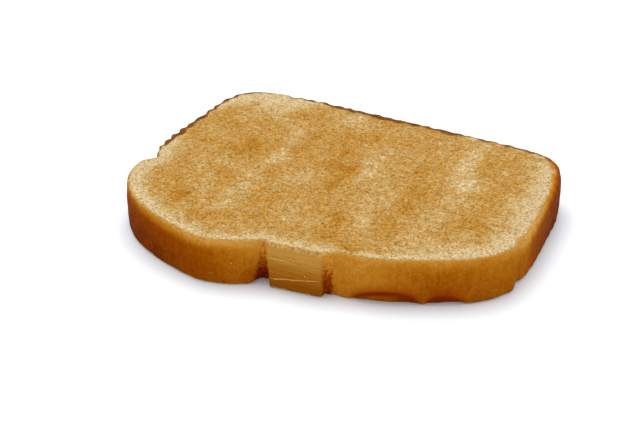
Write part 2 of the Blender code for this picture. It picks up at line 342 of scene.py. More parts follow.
browning = {
    # pale rim: direction from the middle in degrees, and width in mm
    "rim": [(-180, 5), (-170, 5.5), (-160, 6), (-140, 5), (-120, 4.2), (-107, 3), (-97, 3.6),
            (-82, 4.6), (-71, 4), (-66, 1.2), (-61, 1.6), (-50, 3.6), (-36, 5.4), (-20, 8), (-5, 8),
            (15, 9), (33, 6.5), (42, 2.5), (50, 0.5), (90, 0.4), (120, 1.5), (131, 8), (139, 13),
            (148, 6), (158, 1.5), (170, 2), (180, 5)],
    # shares of that width where it starts and stops fading, and how brown it is itself
    "rimFade": (0.35, 1.55), "rimBrowning": 0.06,
    # a thin warm line next to the crust: strength, and metres from the edge over which it fades
    "warmLine": (0.40, (0.0002, 0.0010)),
    # pale bands across the face: start x, y, end x, y, half width, strength, in mm
    "bands": [(-23, 22, -26, -27, 3, 0.33), (4, 24, 6, 9, 3.6, 0.32), (6, 9, 16, -22, 2.4, 0.18),
              (28, 42, 33, 14, 4.6, 0.37), (33, 14, 31, -26, 4.6, 0.28), (-13, 40, -11, 33, 4.4, 0.22),
              (-36, -4, -29, -6, 3, 0.15), (-12, -1, -17, -8, 4, 0.15), (-4, -12, -4, -24, 2.6, 0.16),
              (13, 5, 17, -6, 4, 0.24), (48, 34, 52, 22, 3, 0.2)],
    # patches that caught most: x, y, half length x, half length y, strength, in mm
    "patches": [(-38, 13, 4, 3.4, 0.3), (-33, 8, 4.4, 5.5, 0.38), (-49, 5, 3.6, 4, 0.3),
                (-29, 34, 3.2, 3, 0.22), (-19, 22, 3.4, 3.6, 0.3), (-20, 13, 2.8, 4, 0.28),
                (-21, -4, 2.6, 2.6, 0.26), (-29, -12, 2.4, 4, 0.22), (-39, -25, 3, 4.6, 0.34),
                (-45, -17, 4, 3, 0.22), (-5, 17.5, 3.4, 3.4, 0.42), (-6, 9, 4.4, 4.2, 0.4),
                (0, 7, 3, 4, 0.36), (-1, 0, 2.4, 5, 0.34), (-8, 27, 5, 3, 0.28), (-1, 31, 4, 4, 0.3),
                (-14, -17, 3, 4.6, 0.4), (-13.5, -27, 3.2, 3, 0.36), (8, -17, 3.2, 4, 0.32),
                (10, -26, 3.2, 4.6, 0.4), (23, -17, 3, 6, 0.36), (26, 6, 3, 3.6, 0.36),
                (21, 9, 3, 5, 0.28), (19, 18, 3, 4, 0.26), (23, -5, 2.8, 4, 0.28), (44, -5, 5, 3.6, 0.34),
                (48, 24, 3.6, 3.6, 0.28), (43, 10, 5, 5, 0.18), (13, 41, 3, 2, 0.2), (36, 27, 3, 4, 0.16),
                (17, -32, 4, 2, 0.25)],
    "middling": 0.50, "bandStrength": 0.70, "patchStrength": 0.85,
    # noise as layers of strength, size in metres and seed
    "patchy": [(0.3, 0.0040, 27.0)],
    "uneven": [(0.20, 0.0060, 8.4), (0.40, 0.0017, 15.2)],
    "unevenBelow": [(0.55, 0.0120, 41.0), (0.30, 0.0045, 44.0), (0.25, 0.0022, 47.0)],
    "raggedRim": [(0.45, 0.0050, 3.3), (0.50, 0.0018, 6.1)],
}


def browningOf(x, y, toRim):
    # 0 pale to 1 well toasted, for points of the upper face
    a, b = x / mm, y / mm
    value = np.full(x.shape, browning["middling"])
    patchy = 1 + lumps(x, y, browning["patchy"])
    for startX, startY, endX, endY, halfWidth, strength in browning["bands"]:
        line = np.array([endX - startX, endY - startY], float)
        share = np.clip(((a - startX) * line[0] + (b - startY) * line[1]) / (line @ line), 0, 1)
        gap = np.hypot(a - startX - share * line[0], b - startY - share * line[1])
        value -= browning["bandStrength"] * strength * np.exp(-((gap / halfWidth) ** 2)) * patchy
    for middleX, middleY, halfX, halfY, strength in browning["patches"]:
        patch = np.exp(-(((a - middleX) / halfX) ** 2) - ((b - middleY) / halfY) ** 2)
        value += browning["patchStrength"] * strength * patch * patchy
    value += lumps(x, y, browning["uneven"])
    return paleRim(x, y, toRim, value)


def browningBelow(x, y, toRim):
    # the lower face is as uneven in its own way
    return paleRim(x, y, toRim, browning["middling"] + lumps(x, y, browning["unevenBelow"]))


def paleRim(x, y, toRim, value):
    direction = np.degrees(np.arctan2(y, x))
    width = np.interp(direction, *zip(*browning["rim"])) * mm
    ragged = 1 + lumps(x, y, browning["raggedRim"])
    start, stop = browning["rimFade"]
    pale = 1 - smoothStep(toRim, width * ragged * start, width * ragged * stop)
    strength, fade = browning["warmLine"]
    warm = strength * (1 - smoothStep(toRim, *fade))
    return value * (1 - pale) + browning["rimBrowning"] * pale + warm


# how the crust's colour changes round the slice and down its side

crustTone = {
    # direction from the middle in degrees, how brown, how much paler at the cut, where it starts in mm down
    # from the cut edge (below zero on the face), how umber, and how many mm down the paleness reaches
    "round": [(-180, 0.86, 0.1, -1.9, 0.8, 2.5), (-172, 0.9, 0.2, 0, 0.2, 2.5),
              (-165, 0.95, 0.16, 0.2, 0, 3.2), (-150, 0.79, 0.28, 0.2, 0, 3.6),
              (-133, 0.75, 0.44, 0.2, 0, 4.4), (-117, 0.56, 0.39, 0.2, 0, 4.6),
              (-109, 0.38, 0.28, 0.2, 0, 4.6), (-102, 0.26, 0.16, 0.2, 0, 4.6),
              (-97, 0.16, 0.06, 0.5, 0, 4), (-94, 0.2, 0, 1, 0, 3),
              (-72, 0.2, 0, 1, 0, 3), (-66, 0.15, 0.04, 0.3, 0, 3),
              (-52, 0.18, 0.05, 0, 0, 3), (-42, 0.32, 0.12, 0, 0, 4),
              (-30, 0.47, 0.26, 0, 0, 5), (-18, 0.36, 0.12, 0.1, 0, 4),
              (-8, 0.34, 0.2, 0.3, 0, 5), (-5, 0.32, 0.3, 0.4, 0, 7),
              (-2, 0.34, 0.36, 0.3, 0, 7), (2, 0.5, 0.4, 0.3, 0, 5.5),
              (7, 0.62, 0.42, 0.2, 0, 5), (12, 0.68, 0.42, 0.1, 0, 4.5),
              (20, 0.75, 0.42, -0.8, 0, 5), (30, 0.82, 0.42, -2.4, 0, 4.5),
              (36, 0.9, 0.38, -2.4, 0.2, 3), (42, 0.9, 0.2, -1.4, 0.6, 2.5),
              (56, 0.84, 0, -1.2, 0.8, 2.5), (72, 0.86, 0, -2, 0.85, 2.5),
              (90, 0.84, 0, -2, 0.85, 2.5), (120, 0.88, 0, -1.9, 0.85, 2.5),
              (134, 0.8, 0.1, -0.8, 0.8, 2.5), (145, 0.84, 0, -1.6, 0.8, 2.5),
              (160, 0.86, 0, -2.1, 0.75, 2.5), (180, 0.86, 0.1, -1.9, 0.8, 2.5)],
    "columns": ("crustTone", "crustPale", "crustStart", "crustUmber", "crustReach"),
    # where it is umber its start on the face is ragged: how much, from which umber on, lump size, seed
    "ragged": (0.7, (0.3, 0.7), 0.0035, 17.0),
    "latestStartBelow": 0.2,
    # on the rolled right side it comes on slowly: how much, and the directions where that begins, where it
    # gets less, by how much, and where it ends
    "softness": 4.4, "softFrom": (-9, 1), "firmer": 0.65, "firmerFrom": (10, 22), "softTo": (36, 42),
    # painted shade darkens the left lobe towards the crag, most of all low down: x and height of that change
    "lobeShadeByCragX": (-0.0135, -0.0060), "lobeShadeByCragHeight": (0.0010, 0.0110),
}


def crustAt(direction):
    # the named columns of the table for each direction
    turn, *columns = zip(*crustTone["round"])
    return {name: np.interp(direction, turn, column) for name, column in zip(crustTone["columns"], columns)}


# the visible body

bodyShape = {
    "lattice": 0.00040,
    # metres inward over which the crust's relief fades out
    "reliefFade": (0.0004, 0.0032),
    # cut edges: radius, how much it varies, lump size and seed
    "edgeRadius": 0.0007, "edgeVaries": (0.5, 0.004, 5.0),
    # the right side rolls over to the crust, between these directions
    "rolledRadius": 0.0020, "rolledFrom": (-7, 4), "rolledTo": (32, 40),
    # at the back and left the tin's dark crust stands up, and the edge is sharper
    "standingTo": 0.050, "standingFade": 0.006, "sharper": 0.6,
    "lip": {"height": 0.00030, "width": 0.0021, "fade": 0.0012, "usual": 0.6, "varies": 1.1, "size": 0.0032,
            "limits": (0.1, 1.4)},
    # metres below the face, and inward from the side, over which the crumb's relief begins
    "faceDepth": (0.0001, 0.0006), "faceFrom": (0.0002, 0.0014),
    # room for the grains, and what stays clear of the CAD box
    "room": 0.00009, "clear": 0.00002, "clearAbove": 0.00008,
}


def makeLattice(name, size):
    # a flat slab of the slice's plan, cut into an even lattice
    mesh = bmesh.new()
    rim = [mesh.verts.new((px, py, 0)) for px, py in plan[0]]
    base = mesh.faces.new(rim)
    grown = bmesh.ops.extrude_face_region(mesh, geom=[base])
    raised = [v for v in grown["geom"] if isinstance(v, bmesh.types.BMVert)]
    bmesh.ops.translate(mesh, verts=raised, vec=(0, 0, slicePlan["thickness"]))
    bmesh.ops.recalc_face_normals(mesh, faces=mesh.faces)
    data = bpy.data.meshes.new(name)
    mesh.to_mesh(data)
    mesh.free()
    slab = addObject(name, data)
    lattice = slab.modifiers.new("lattice", "REMESH")
    lattice.mode = "VOXEL"
    lattice.voxel_size = size
    made = bpy.data.meshes.new_from_object(slab.evaluated_get(bpy.context.evaluated_depsgraph_get()))
    slab.modifiers.clear()
    slab.data = made
    bpy.data.meshes.remove(data)
    return slab


def setAttribute(data, name, values):
    attribute = data.attributes.new(name, "FLOAT", "POINT")
    attribute.data.foreach_set("value", np.asarray(values, np.float32))


def nearestOnEdge(co):
    # for each point, the number of the nearest point of the plan's edge
    points = plan[0]
    tree = kdtree.KDTree(len(points))
    for i, (px, py) in enumerate(points):
        tree.insert((px, py, 0), i)
    tree.balance()
    return np.array([tree.find((px, py, 0))[1] for px, py in co[:, :2]])


def makeToastBody():
    form = bodyShape
    body = makeLattice("toastBody", form["lattice"])
    data = body.data
    co = np.empty(len(data.vertices) * 3, np.float32)
    data.vertices.foreach_get("co", co)
    co = co.reshape(-1, 3).astype(float)
    say(f"lattice of {len(co)} points")

    # x and y are those of the nearest point of the edge
    points, outward, wayRound = plan
    index = nearestOnEdge(co)
    point, normal = points[index], outward[index]
    x, y = point[:, 0], point[:, 1]
    direction = np.degrees(np.arctan2(y, x))
    inward = np.maximum(((point - co[:, :2]) * normal).sum(axis=1), 0)
    thickness = slicePlan["thickness"]
    toFace = np.clip(np.minimum(co[:, 2], thickness - co[:, 2]), 0, None)
    upper = co[:, 2] > thickness / 2

    # crust relief, which fades out into the crumb
    nearSide = 1 - smoothStep(inward, *form["reliefFade"])
    near = nearSide > 0
    relief = np.zeros(len(co))
    relief[near] = crustRelief(x[near], y[near], wayRound[index[near]], co[near, 2])
    co[:, :2] += normal * (relief * nearSide)[:, None]

    # cut edges, softly and unevenly rounded
    standing = tinShare(y) * smoothStep(form["standingTo"] - x, 0.0, form["standingFade"])
    varies, size, seed = form["edgeVaries"]
    radius = form["edgeRadius"] * (1 + varies * noiseAt(x, y, upper * 1.0, size, seed))
    radius = radius * (1 - form["sharper"] * standing)
    rolled = form["rolledRadius"] * upper * smoothStep(direction, *form["rolledFrom"])
    radius += rolled * (1 - smoothStep(direction, *form["rolledTo"]))
    fromSide, fromFace = radius - inward, radius - toFace
    reach = np.hypot(fromSide, fromFace)
    rounded = (fromSide > 0) & (fromFace > 0) & (reach > radius)
    shrink = np.where(rounded, 1 - radius / np.maximum(reach, 1e-9), 0)
    co[:, :2] -= normal * (fromSide * shrink)[:, None]
    co[:, 2] += np.where(upper, -1, 1) * fromFace * shrink

    # crumb relief on both faces
    onFace = (1 - smoothStep(toFace, *form["faceDepth"])) * smoothStep(inward, *form["faceFrom"])
    for face, chosen in ((1, upper & (onFace > 0)), (-1, ~upper & (onFace > 0))):
        lift = crumbRelief(co[chosen, 0], co[chosen, 1], face)
        co[chosen, 2] += face * lift * onFace[chosen]

    # the crust's standing lip at the back and left of the upper face
    lip = form["lip"]
    lipShare = standing * onFace * smoothStep(lip["width"] - inward, 0, lip["fade"]) * upper
    chosen = lipShare > 0
    uneven = noiseAt(wayRound[index[chosen]], inward[chosen], inward[chosen] * 0, lip["size"], 8.0)
    uneven = np.clip(lip["usual"] + lip["varies"] * uneven, *lip["limits"])
    co[chosen, 2] += lip["height"] * lipShare[chosen] * uneven

    # centred in the CAD solid's box, with a little room above and below for the grains
    low, high = (np.array(corner) for corner in cadBox)
    small, large = co.min(axis=0), co.max(axis=0)
    scale = np.minimum(1, (high - low - form["clear"]) / (large - small))
    co[:, :2] = ((low + high) / 2 + (co - (small + large) / 2) * scale)[:, :2]
    room = form["room"]
    co[:, 2] = room + co[:, 2] * (1 - 1.5 * room / thickness)
    co[:, 2] = np.clip(co[:, 2], low[2] + form["clear"], high[2] - form["clearAbove"])
    say(f"body fitted, from {co.min(axis=0)} to {co.max(axis=0)}")
    data.vertices.foreach_set("co", co.astype(np.float32).ravel())
    data.update()
    markBody(data, co, x, y, direction, inward, toFace, upper, nearSide)
    data.shade_smooth()
    return body


def markBody(data, co, x, y, direction, inward, toFace, upper, nearSide):
    # what the material reads at each point
    toast = np.zeros(len(co))
    toast[upper] = browningOf(co[upper, 0], co[upper, 1], inward[upper])
    toast[~upper] = browningBelow(co[~upper, 0], co[~upper, 1], inward[~upper])
    setAttribute(data, "browning", toast)
    # painted shade inside the single holes, darkest in the deepest
    holeShade = np.zeros(len(co))
    for holeX, holeY, radius, depth in crumb["holes"]:
        hole = hump(np.hypot(co[:, 0] - holeX, co[:, 1] - holeY), 0, radius * crumb["holeShadeSpread"])
        holeShade += depth / crumb["deepestHole"] * upper * hole
    setAttribute(data, "holeShade", holeShade)
    # mm down from the cut edge, and below zero on the face
    setAttribute(data, "fromCut", (toFace - inward) / mm)

    here = crustAt(direction)
    strength, umberFrom, size, seed = crustTone["ragged"]
    ragged = strength * smoothStep(here["crustUmber"], *umberFrom)
    ragged = ragged * noiseAt(co[:, 0], co[:, 1], upper * 1.0, size, seed)
    start = here["crustStart"]
    start = np.where(start < 0, start * (1 + ragged), start)
    here["crustStart"] = np.where(upper, start, np.minimum(start, crustTone["latestStartBelow"]))
    for name, values in here.items():
        setAttribute(data, name, values)
    firmer = crustTone["firmer"] * smoothStep(direction, *crustTone["firmerFrom"])
    soft = smoothStep(direction, *crustTone["softFrom"]) * (1 - firmer)
    soft = soft * (1 - smoothStep(direction, *crustTone["softTo"]))
    setAttribute(data, "crustSoft", np.where(upper, 1 + crustTone["softness"] * soft, 1))

    crags = cragShares(x, y, co[:, 2])
    below, lipShade, _ = foldShares(x, y, co[:, 2])
    setAttribute(data, "tornBand", bandShare(x, y))
    setAttribute(data, "leftCrag", crags[0][0] * nearSide)
    setAttribute(data, "rightCrag", crags[1][0] * nearSide)
    # painted shade on the left lobe beside the crag, strongest low down
    lowDown = 1 - smoothStep(co[:, 2], *crustTone["lobeShadeByCragHeight"])
    leftOfBand = (y < 0) & (x < crust["crags"][0]["right"][0])
    setAttribute(data, "lobeShadeByCrag", nearSide * lowDown * smoothStep(x, *crustTone["lobeShadeByCragX"]) * leftOfBand)
    # painted shade below the fold's lip, and along its crease
    setAttribute(data, "underLipShadeShare", below * nearSide)
    setAttribute(data, "foldLip", lipShade * nearSide)


# the material

def addNode(tree, kind, *inputs, **settings):
    # inputs go to the sockets in order: a socket is linked, a number or colour is set, None is skipped
    node = tree.nodes.new("ShaderNode" + kind)
    for name, value in settings.items():
        setattr(node, name, value)
    for socket, value in zip(node.inputs, inputs):
        if isinstance(value, bpy.types.NodeSocket):
            tree.links.new(value, socket)
        elif value is not None:
            socket.default_value = value
    return node


def calculate(tree, operation, *values):
    return addNode(tree, "Math", *values, operation=operation).outputs[0]


def attributeOf(tree, name):
    return addNode(tree, "Attribute", attribute_name=name).outputs["Fac"]


def remap(tree, value, low, high, toLow=0.0, toHigh=1.0):
    node = addNode(tree, "MapRange", value, low, high, toLow, toHigh, interpolation_type="SMOOTHSTEP")
    return node.outputs[0]


def noiseNode(tree, where, size, detail, roughness, distortion=0.0):
    node = addNode(tree, "TexNoise")
    tree.links.new(where, node.inputs["Vector"])
    for name, value in (("Scale", 1 / size), ("Detail", detail), ("Roughness", roughness),
                        ("Distortion", distortion)):
        node.inputs[name].default_value = value
    return node.outputs[0]


def stretched(tree, where, x, y, z):
    node = addNode(tree, "Mapping", where)
    node.inputs["Scale"].default_value = (x, y, z)
    return node.outputs[0]


def colourRamp(tree, value, stops, light):
    node = addNode(tree, "ValToRGB", value)
    elements = node.color_ramp.elements
    while len(elements) < len(stops):
        elements.new(0.5)
    for element, (place, colour) in zip(elements, stops):
        element.position = place
        element.color = linearColour(colour, light)
    return node.outputs[0]


def mixColour(tree, share, first, second, blend="MIX"):
    node = addNode(tree, "Mix", data_type="RGBA", blend_type=blend)
    for place, value in ((0, share), (6, first), (7, second)):
        if isinstance(value, bpy.types.NodeSocket):
            tree.links.new(value, node.inputs[place])
        else:
            node.inputs[place].default_value = value
    return node.outputs[2]


toastFinish = {
    # colours as they look on screen, and how strongly the faces and the sides are lit
    "faceLight": 1.42, "sideLight": 1.06,
    "crumbStops": [(0.0, (223, 200, 156)), (0.22, (207, 172, 111)), (0.5, (198, 152, 81)),
                   (0.75, (192, 141, 63)), (1.0, (180, 121, 40))],
    "crustStops": [(0.0, (206, 150, 70)), (0.22, (187, 121, 31)), (0.42, (169, 100, 15)),
                   (0.60, (151, 76, 4)), (0.80, (136, 61, 1)), (0.90, (120, 51, 3)), (1.0, (102, 38, 3))],
    "umberStops": [(0.28, (74, 45, 13)), (0.72, (126, 86, 34))],
    "bandStops": [(0.0, (192, 142, 66)), (0.5, (163, 105, 27)), (1.0, (138, 71, 3))],
    # painted shade: the first inside the holes, the second along the fold's crease
    "holeShade": (134, 76, 18), "creaseShade": (132, 42, 1),
    # these multiply the crumb's colour
    "gritDark": (0.61, 0.51, 0.27, 1.0), "gritLight": (1.37, 1.44, 1.64, 1.0),
    "fresh": (1.28, 1.28, 1.28, 1.0),
    # size of each noise in metres, detail, roughness, distortion
    "noises": {"fine": (0.00046, 2, 0.6), "speckle": (0.0010, 2, 0.6), "broad": (0.0030, 3, 0.6),
               "grit": (0.00062, 1, 0.5, 0.4), "streaks": (0.0010, 2, 0.5), "strands": (0.00060, 3, 0.6)},
    # streaks run down the crust and strands along the band
    "stretch": {"streaks": (1, 1, 0.12), "strands": (0.07, 0.07, 1)},
    # pores in the crumb: their size, where their edge fades, and how much painted shade darkens the crumb
    # inside them
    "pitSize": 0.00080, "pitEdge": (0.05, 0.36), "pitShade": 0.40,
    # how strongly each noise stirs a tone or an edge
    "toastNoise": {"speckle": 0.6},
    "mottle": 0.57, "mottleNoise": {"speckle": 2.0, "fine": 1.4, "grit": 1.4},
    "crustNoise": {"broad": 0.26, "streaks": 0.14, "fine": 0.32, "speckle": 0.34},
    "umberNoise": {"fine": 0.4, "broad": 0.5}, "umberToneNoise": {"fine": 0.7, "speckle": 0.7},
    "bandNoise": {"fine": 0.30, "strands": 0.75},
    "startNoise": {"broad": 1.7, "fine": 0.9, "speckle": 1.4},
    "freshEdge": (-0.2, 0.5), "startEdge": (-0.35, 0.40), "umberEdge": (0.0, 0.3),
    # the crust is darker low down, partly browner and partly painted shade; painted shade darkens it below
    # the fold's lip and beside the left crag; and it is paler at the cut
    "lowBrownerAndShaded": 0.22, "underLipShadeStrength": 0.36, "lobeShadeByCragStrength": 0.26,
    "paler": 1.35, "palerLow": 0.15, "palerHeight": (0.35, 0.65),
    # tone at the cut and at the foot; for the crags the darker foot is partly painted shade of the hollow
    "bandTone": (0.03, 0.95), "cragFootShade": (-0.05, 0.95),
    # crag colours run from their own colour near the cut to painted shade of the hollow at the foot
    "crags": {
        "left": {"edge": (0.10, 0.60), "edgeNoise": {"fine": 0.375, "speckle": 0.675},
                 "toneNoise": {"speckle": 0.75, "grit": 0.975},
                 "stops": [(0.0, (204, 136, 42)), (0.35, (166, 84, 6)), (0.7, (136, 42, 1)),
                           (1.0, (98, 20, 2))]},
        "right": {"edge": (0.28, 0.78), "edgeNoise": {"fine": 0.35, "speckle": 0.63},
                  "toneNoise": {"speckle": 0.7, "grit": 0.91},
                  "stops": [(0.0, (204, 136, 44)), (0.5, (152, 66, 2)), (1.0, (108, 30, 1))]},
    },
    "crumbRoughness": 0.95, "crustRoughness": 0.60, "specular": 0.005, "specularTint": (255, 205, 130),
    "bumpStrength": 0.80, "bumpDistance": 0.00025,
    "crumbBump": {"fine": 0.9, "pits": 0.5, "grit": 0.8, "lowered": 1.05},
    "crustBump": {"streaks": 0.22, "speckle": 0.15, "fine": 0.18}, "bandBump": {"strands": 0.9},
}


def makeToastMaterial():
    material = bpy.data.materials.new("toastedBread")
    material.use_nodes = True
    tree = material.node_tree
    shader = tree.nodes["Principled BSDF"]
    finish = toastFinish
    where = addNode(tree, "TexCoord").outputs["Object"]
    height = calculate(tree, "DIVIDE", addNode(tree, "SeparateXYZ", where).outputs[2], slicePlan["thickness"])
    noises = {}
    for name, values in finish["noises"].items():
        stretch = finish["stretch"].get(name)
        noises[name] = noiseNode(tree, stretched(tree, where, *stretch) if stretch else where, *values)

    def stirred(value, amounts):
        # the value plus each named noise, centred on zero, times its amount
        for name, amount in amounts.items():
            centred = calculate(tree, "SUBTRACT", noises[name], 0.5)
            value = calculate(tree, "MULTIPLY_ADD", centred, amount, value)
        return value

    # crumb: toasted patches, and a light and dark grit
    toast = stirred(attributeOf(tree, "browning"), finish["toastNoise"])
    crumbColour = colourRamp(tree, toast, finish["crumbStops"], finish["faceLight"])
    # pores dip in the bump, and painted shade darkens the grit inside them
    pits = addNode(tree, "TexVoronoi", where, feature="F1")
    pits.inputs["Scale"].default_value = 1 / finish["pitSize"]
    pitShadeShare = remap(tree, pits.outputs[0], *finish["pitEdge"], finish["pitShade"], 0.0)
    mottle = calculate(tree, "SUBTRACT", stirred(finish["mottle"], finish["mottleNoise"]), pitShadeShare)
    gritColour = mixColour(tree, mottle, finish["gritDark"], finish["gritLight"])
    crumbColour = mixColour(tree, 1.0, crumbColour, gritColour, "MULTIPLY")
    # below the cut edge it is fresh and paler
    fromCut = attributeOf(tree, "fromCut")
    freshShare = remap(tree, fromCut, *finish["freshEdge"])
    freshColour = mixColour(tree, freshShare, (1.0, 1.0, 1.0, 1.0), finish["fresh"])
    crumbColour = mixColour(tree, 1.0, crumbColour, freshColour, "MULTIPLY")
    # painted shade inside the single holes
    holeShade = linearColour(finish["holeShade"], finish["faceLight"])
    crumbColour = mixColour(tree, attributeOf(tree, "holeShade"), crumbColour, holeShade)

    # crust: darker low down, partly browner and partly painted shade, paler at the cut, with streaks through
    # the thickness
    lowDown = calculate(tree, "SUBTRACT", 1.0, height)
    tone = calculate(tree, "MULTIPLY_ADD", lowDown, finish["lowBrownerAndShaded"], attributeOf(tree, "crustTone"))
    tone = stirred(tone, finish["crustNoise"])
    fromStart = calculate(tree, "SUBTRACT", fromCut, attributeOf(tree, "crustStart"))
    fade = remap(tree, fromStart, 0.0, attributeOf(tree, "crustReach"), finish["paler"], 0.0)
    nearCut = calculate(tree, "MULTIPLY", attributeOf(tree, "crustPale"), fade)
    upperHalf = remap(tree, height, *finish["palerHeight"], finish["palerLow"], 1.0)
    nearCut = calculate(tree, "MULTIPLY", nearCut, upperHalf)
    tone = calculate(tree, "SUBTRACT", tone, nearCut)
    # painted shade below the fold's lip
    tone = calculate(tree, "MULTIPLY_ADD", attributeOf(tree, "underLipShadeShare"), finish["underLipShadeStrength"], tone)
    # painted shade beside the left crag
    tone = calculate(tree, "MULTIPLY_ADD", attributeOf(tree, "lobeShadeByCrag"), finish["lobeShadeByCragStrength"], tone)
    crustColour = colourRamp(tree, tone, finish["crustStops"], finish["sideLight"])
    umber = attributeOf(tree, "crustUmber")
    umberShare = stirred(umber, finish["umberNoise"])
    umberShare = calculate(tree, "MULTIPLY", umberShare, remap(tree, umber, *finish["umberEdge"]))
    umberTone = stirred(noises["broad"], finish["umberToneNoise"])
    umberColour = colourRamp(tree, umberTone, finish["umberStops"], finish["sideLight"])
    crustColour = mixColour(tree, umberShare, crustColour, umberColour)
    # painted shade along the fold's crease
    creaseShade = linearColour(finish["creaseShade"], finish["sideLight"])
    crustColour = mixColour(tree, attributeOf(tree, "foldLip"), crustColour, creaseShade)

    # torn band: paler near the cut, with strands along it
    bandTone = stirred(remap(tree, height, 1.0, 0.0, *finish["bandTone"]), finish["bandNoise"])
    bandColour = colourRamp(tree, bandTone, finish["bandStops"], finish["sideLight"])
    band = attributeOf(tree, "tornBand")
    skin = mixColour(tree, band, crustColour, bandColour)

    # crags: their own torn-crust colour near the cut, darkened towards the foot partly by painted shade of
    # the hollow, with a rough edge
    for name, crag in finish["crags"].items():
        share = stirred(attributeOf(tree, name + "Crag"), crag["edgeNoise"])
        cragShadeTone = stirred(remap(tree, height, 1.0, 0.0, *finish["cragFootShade"]), crag["toneNoise"])
        cragColour = colourRamp(tree, cragShadeTone, crag["stops"], finish["sideLight"])
        skin = mixColour(tree, remap(tree, share, *crag["edge"]), skin, cragColour)

    # the crust starts along a ragged line, and on the right side it comes on slowly
    softStart = calculate(tree, "DIVIDE", fromStart, attributeOf(tree, "crustSoft"))
    isCrust = remap(tree, stirred(softStart, finish["startNoise"]), *finish["startEdge"])
    tree.links.new(mixColour(tree, isCrust, crumbColour, skin), shader.inputs["Base Color"])

    # open crumb is rougher than the baked skin
    roughness = remap(tree, isCrust, 0.0, 1.0, finish["crumbRoughness"], finish["crustRoughness"])
    tree.links.new(roughness, shader.inputs["Roughness"])
    shader.inputs["Specular IOR Level"].default_value = finish["specular"]
    shader.inputs["Specular Tint"].default_value = linearColour(finish["specularTint"])
    amounts = finish["crumbBump"]
    crumbHeight = calculate(tree, "MULTIPLY", pits.outputs[0], amounts["pits"])
    crumbHeight = calculate(tree, "MULTIPLY_ADD", noises["fine"], amounts["fine"], crumbHeight)
    crumbHeight = calculate(tree, "MULTIPLY_ADD", noises["grit"], amounts["grit"], crumbHeight)
    crumbHeight = calculate(tree, "SUBTRACT", crumbHeight, amounts["lowered"])
    crustHeight = stirred(0.0, finish["crustBump"])
    smooth = addNode(tree, "Mix", band, None, crustHeight, stirred(0.0, finish["bandBump"]))
    surface = addNode(tree, "Mix", isCrust, None, crumbHeight, smooth.outputs[0])
    bump = addNode(tree, "Bump")
    bump.inputs["Strength"].default_value = finish["bumpStrength"]
    bump.inputs["Distance"].default_value = finish["bumpDistance"]
    tree.links.new(surface.outputs[0], bump.inputs["Height"])
    tree.links.new(bump.outputs[0], shader.inputs["Normal"])
    return material


# loose and standing grains of crumb, metres

grains = {
    "upper": 8600, "lower": 4300,
    # radius, and how strongly small ones outnumber large ones
    "small": 0.00009, "large": 0.00024, "mostlySmall": 2.2,
    # some stand close to the rim: how many, and how far in from it
    "rimShare": 0.05, "rimDepth": (0.0001, 0.0014),
    "stretch": (0.7, 1.3), "rough": 0.42, "flattened": 0.75, "sunk": 0.10,
    # mm that they keep from the crust's start and from the edge, and radii that they keep from a hole
    "fromCrust": 0.25, "fromEdge": 0.2, "fromHole": 1.5,
    # height above the middle from which a place is looked for, and under which it is too low for one
    "rayFrom": 0.03, "lowest": 0.0066,
    # browner or paler than the face under them: middle and spread; the middle below zero makes them paler as
    # painted light against their own shade, and the spread is random
    "paintedLiftAndSpread": (-0.10, 0.16),
}


def bodySurface():
    data = toastBody.data
    return BVHTree.FromPolygons([v.co for v in data.vertices], [p.vertices for p in data.polygons])


def makeGrains(name, face, count, seed):
    draw = np.random.default_rng(seed)
    surface = bodySurface()
    points, outward, _ = plan
    low, high = cadBox
    middle = slicePlan["thickness"] / 2
    shape = bmesh.new()
    bmesh.ops.create_icosphere(shape, subdivisions=1, radius=1)
    ball = np.array([v.co for v in shape.verts])
    ballFaces = np.array([[v.index for v in f.verts] for f in shape.faces])
    shape.free()
    corners, faces, tones = [], [], []
    while len(tones) < count:
        if draw.random() < grains["rimShare"]:
            index = draw.integers(len(points))
            x, y = points[index] - outward[index] * draw.uniform(*grains["rimDepth"])
        else:
            x, y = draw.uniform(low[0], high[0]), draw.uniform(low[1], high[1])
        inward = -float(sliceField(np.array([x]), np.array([y]))[0])
        start = crustAt(math.degrees(math.atan2(y, x)))["crustStart"]
        inHole = face > 0 and any(math.hypot(x - holeX, y - holeY) < grains["fromHole"] * radius
                                  for holeX, holeY, radius, _ in crumb["holes"])
        if inHole or inward < max(grains["fromCrust"] - start, grains["fromEdge"]) * mm:
            continue
        hit = surface.ray_cast((x, y, middle + grains["rayFrom"] * face), (0, 0, -face))[0]
        if hit is None or abs(hit.z - middle) < grains["lowest"]:
            continue
        size = grains["small"] + (grains["large"] - grains["small"]) * draw.random() ** grains["mostlySmall"]
        stretch = draw.uniform(*grains["stretch"], 3) * size
        turn = np.array(Euler(draw.uniform(0, 6.28, 3)).to_matrix())
        rough = draw.uniform(1 - grains["rough"], 1 + grains["rough"], (len(ball), 1))
        grain = (ball * rough * stretch) @ turn.T
        grain = grain * (1, 1, grains["flattened"]) + np.array(hit) - (0, 0, face * size * grains["sunk"])
        grain[:, 2] = np.clip(grain[:, 2], low[2], high[2])
        faces.append(ballFaces + len(tones) * len(ball))
        corners.append(grain)
        # paler on the whole as painted light against their own shade, with a random spread
        tones.append((x, y, inward, draw.normal(*grains["paintedLiftAndSpread"])))
    tones = np.array(tones)
    data = bpy.data.meshes.new(name)
    data.from_pydata(np.concatenate(corners).tolist(), [], np.concatenate(faces).tolist())
    toastHere = browningOf if face > 0 else browningBelow
    tone = toastHere(tones[:, 0], tones[:, 1], tones[:, 2]) + tones[:, 3]
    setAttribute(data, "browning", np.repeat(tone, len(ball)))
    # far from the cut on the crumb's side, so that none of it counts as crust
    setAttribute(data, "fromCut", np.full(len(data.vertices), -9.0))
    setAttribute(data, "crustSoft", np.ones(len(data.vertices)))
    data.shade_smooth()
    return addObject(name, data)


# pale strands torn loose along the band, and crumbs caught on the crust, metres

